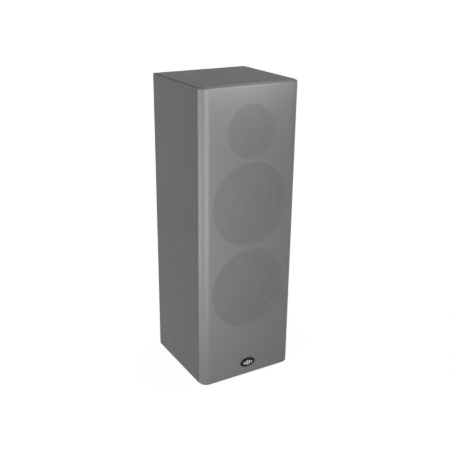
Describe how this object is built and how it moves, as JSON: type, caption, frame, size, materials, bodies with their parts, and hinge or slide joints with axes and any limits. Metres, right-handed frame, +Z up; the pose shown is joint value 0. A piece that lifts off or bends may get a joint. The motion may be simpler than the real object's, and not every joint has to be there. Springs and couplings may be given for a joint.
{
  "type": "column loudspeaker",
  "caption": "Grey two-woofer column loudspeaker with a lift-off cloth grille, oval badge, rear reflex port, recessed terminals and rubber feet.",
  "frame": {"origin": "on the floor under the middle of the overall box", "axes": "+Z up, the listening side faces -Y, +X to the right seen from the front"},
  "size_m": [0.209, 0.2074, 0.604],
  "materials": {
    "cabinet_film": "MDF wrapped in smooth satin grey film",
    "raw_mdf": "bare MDF, sawn faces",
    "baffle_paint": "MDF with matt black paint",
    "grille_cloth": "grey acoustic grille cloth, plain weave",
    "grille_board": "moulded mid-grey ABS frame",
    "black_nylon": "moulded black nylon",
    "badge_gloss": "gloss black moulded badge",
    "badge_metal": "brushed aluminium inlay",
    "soft_rubber": "black moulded rubber",
    "foam_gasket": "closed-cell foam seal",
    "basket_paint": "pressed steel with black powder coat",
    "motor_steel": "zinc-plated steel motor plate",
    "ferrite": "sintered ferrite",
    "paper_cone": "coated black paper pulp",
    "cap_plastic": "matt moulded dust cap",
    "spider_cloth": "resin-dipped cotton",
    "copper_winding": "enamelled copper wire",
    "silk_dome": "coated black silk",
    "faceplate_plastic": "fine-textured black ABS",
    "black_screws": "black oxide steel",
    "tinned_brass": "tinned brass tags",
    "insert_brass": "turned brass",
    "gold_plate": "gold-plated brass",
    "moulded_abs": "textured black ABS",
    "knob_red": "clear-red moulded knob",
    "knob_black": "black moulded knob",
    "circuit_board": "fibre board",
    "film_capacitor": "potted film capacitor",
    "cement_resistor": "ceramic block resistor",
    "lead_jacket": "PVC-jacketed lead",
    "wool_felt": "grey needled wool felt"
  },
  "bodies": {
    "cabinet": {"side_panel_left": "cabinet_film", "side_panel_right": "cabinet_film", "top_panel": "cabinet_film", "bottom_panel": "cabinet_film", "back_panel": "cabinet_film", "front_baffle": "baffle_paint", "window_brace": "raw_mdf", "damping_felt": "wool_felt", "feet": "soft_rubber", "spike_inserts": "insert_brass", "woofer_baskets": "basket_paint", "woofer_top_plates": "motor_steel", "woofer_magnets": "ferrite", "woofer_yokes": "motor_steel", "driver_terminals": "tinned_brass", "woofer_trim_rings": "soft_rubber", "driver_gaskets": "foam_gasket", "woofer_screws": "black_screws", "small_screws": "black_screws", "tweeter_faceplate": "faceplate_plastic", "tweeter_top_plate": "motor_steel", "tweeter_magnet": "ferrite", "tweeter_yoke": "motor_steel", "port_tube": "moulded_abs", "terminal_cup": "moulded_abs", "binding_posts": "gold_plate", "post_nuts": "gold_plate", "crossover_board": "circuit_board", "crossover_coils": "copper_winding", "crossover_capacitors": "film_capacitor", "crossover_resistors": "cement_resistor", "board_spacers": "black_nylon", "lead_tweeter": "lead_jacket", "lead_woofer_upper": "lead_jacket", "lead_woofer_lower": "lead_jacket", "leads_input": "lead_jacket", "lead_clips": "black_nylon", "peg_sockets": "soft_rubber"},
    "grille": {"grille_frame": "grille_board", "grille_cloth": "grille_cloth", "grille_pegs": "black_nylon", "badge": "badge_gloss", "badge_bars": "badge_metal"},
    "woofer_upper": {"woofer_upper_cone": "paper_cone", "woofer_upper_dust_cap": "cap_plastic", "woofer_upper_surround": "soft_rubber", "woofer_upper_spider": "spider_cloth", "woofer_upper_voice_coil": "copper_winding"},
    "woofer_lower": {"woofer_lower_cone": "paper_cone", "woofer_lower_dust_cap": "cap_plastic", "woofer_lower_surround": "soft_rubber", "woofer_lower_spider": "spider_cloth", "woofer_lower_voice_coil": "copper_winding"},
    "tweeter": {"tweeter_dome": "silk_dome", "tweeter_surround": "silk_dome", "tweeter_voice_coil": "copper_winding"},
    "washer_red": {"clamp_washer_red": "gold_plate"},
    "knob_red": {"knob_red": "knob_red"},
    "washer_black": {"clamp_washer_black": "gold_plate"},
    "knob_black": {"knob_black": "knob_black"}
  },
  "joints": [
    {"name": "grille_pull", "type": "slide", "parent": "cabinet", "child": "grille", "axis": [0, -1, 0], "range_m": [0, 0.06]},
    {"name": "woofer_upper_stroke", "type": "slide", "parent": "cabinet", "child": "woofer_upper", "axis": [0, -1, 0], "range_m": [-0.004, 0.004], "stiffness_N_per_m": 1000, "deforming": ["woofer_upper_surround", "woofer_upper_spider"]},
    {"name": "woofer_lower_stroke", "type": "slide", "parent": "cabinet", "child": "woofer_lower", "axis": [0, -1, 0], "range_m": [-0.004, 0.004], "stiffness_N_per_m": 1000, "deforming": ["woofer_lower_surround", "woofer_lower_spider"]},
    {"name": "tweeter_stroke", "type": "slide", "parent": "cabinet", "child": "tweeter", "axis": [0, -1, 0], "range_m": [-0.0005, 0.0005], "stiffness_N_per_m": 100, "deforming": ["tweeter_surround"]},
    {"name": "red_washer_lift", "type": "slide", "parent": "cabinet", "child": "washer_red", "axis": [0, 1, 0], "range_m": [0, 0.003]},
    {"name": "red_knob_turn", "type": "hinge", "parent": "washer_red", "child": "knob_red", "pos_m": [-0.0095, 0.08695, 0.114], "axis": [0, 1, 0], "range_deg": [0, 1440]},
    {"name": "black_washer_lift", "type": "slide", "parent": "cabinet", "child": "washer_black", "axis": [0, 1, 0], "range_m": [0, 0.003]},
    {"name": "black_knob_turn", "type": "hinge", "parent": "washer_black", "child": "knob_black", "pos_m": [0.0095, 0.08695, 0.114], "axis": [0, 1, 0], "range_deg": [0, 1440]}
  ],
  "couplings": [
    {"joint": "red_knob_turn", "follows": "red_washer_lift", "rad_per_m": 8377.6},
    {"joint": "black_knob_turn", "follows": "black_washer_lift", "rad_per_m": 8377.6}
  ]
}
